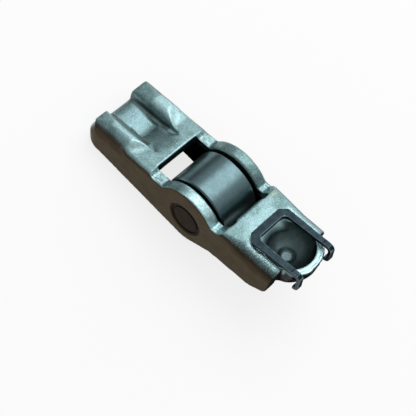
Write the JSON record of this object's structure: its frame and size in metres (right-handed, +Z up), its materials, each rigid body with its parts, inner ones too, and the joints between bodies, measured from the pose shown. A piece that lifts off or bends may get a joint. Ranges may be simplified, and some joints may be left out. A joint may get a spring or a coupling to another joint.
{
  "type": "rocker arm",
  "caption": "Pressed steel roller finger follower with a needle-borne cam roller, a valve pad between guide walls and a ball socket with a spring clip.",
  "frame": {"origin": "centre of the footprint on the floor, as the arm lies on its roller and its valve end", "axes": "+Z up out of the ball socket but for the lean of 12.8 degrees, +X towards the ball socket end, +Y across the arm along the roller pin"},
  "size_m": [0.0524, 0.016, 0.0203],
  "materials": {
    "pressed_steel": "tumbled and hardened sheet steel, satin grey",
    "ground_steel": "ground bearing steel, smooth",
    "pin_steel": "ground and staked pin, dull dark grey ends",
    "needle_steel": "polished bearing steel",
    "spring_steel": "blued spring steel strip"
  },
  "bodies": {
    "arm": {"arm_body": "pressed_steel", "roller_pin": "pin_steel", "retainer_clip": "spring_steel"},
    "roller": {"roller": "ground_steel"},
    "needles": {"needle_01": "needle_steel", "needle_02": "needle_steel", "needle_03": "needle_steel", "needle_04": "needle_steel", "needle_05": "needle_steel", "needle_06": "needle_steel", "needle_07": "needle_steel", "needle_08": "needle_steel", "needle_09": "needle_steel", "needle_10": "needle_steel", "needle_11": "needle_steel", "needle_12": "needle_steel", "needle_13": "needle_steel", "needle_14": "needle_steel", "needle_15": "needle_steel", "needle_16": "needle_steel", "needle_17": "needle_steel", "needle_18": "needle_steel"}
  },
  "joints": [
    {"name": "roller_spin", "type": "hinge", "parent": "arm", "child": "roller", "pos_m": [0.00097, 0, 0.0076], "axis": [0, 1, 0], "continuous": true},
    {"name": "needle_orbit", "type": "hinge", "parent": "arm", "child": "needles", "pos_m": [0.00097, 0, 0.0076], "axis": [0, 1, 0], "continuous": true}
  ],
  "couplings": [
    {"joint": "needle_orbit", "follows": "roller_spin", "ratio": 0.58542}
  ]
}
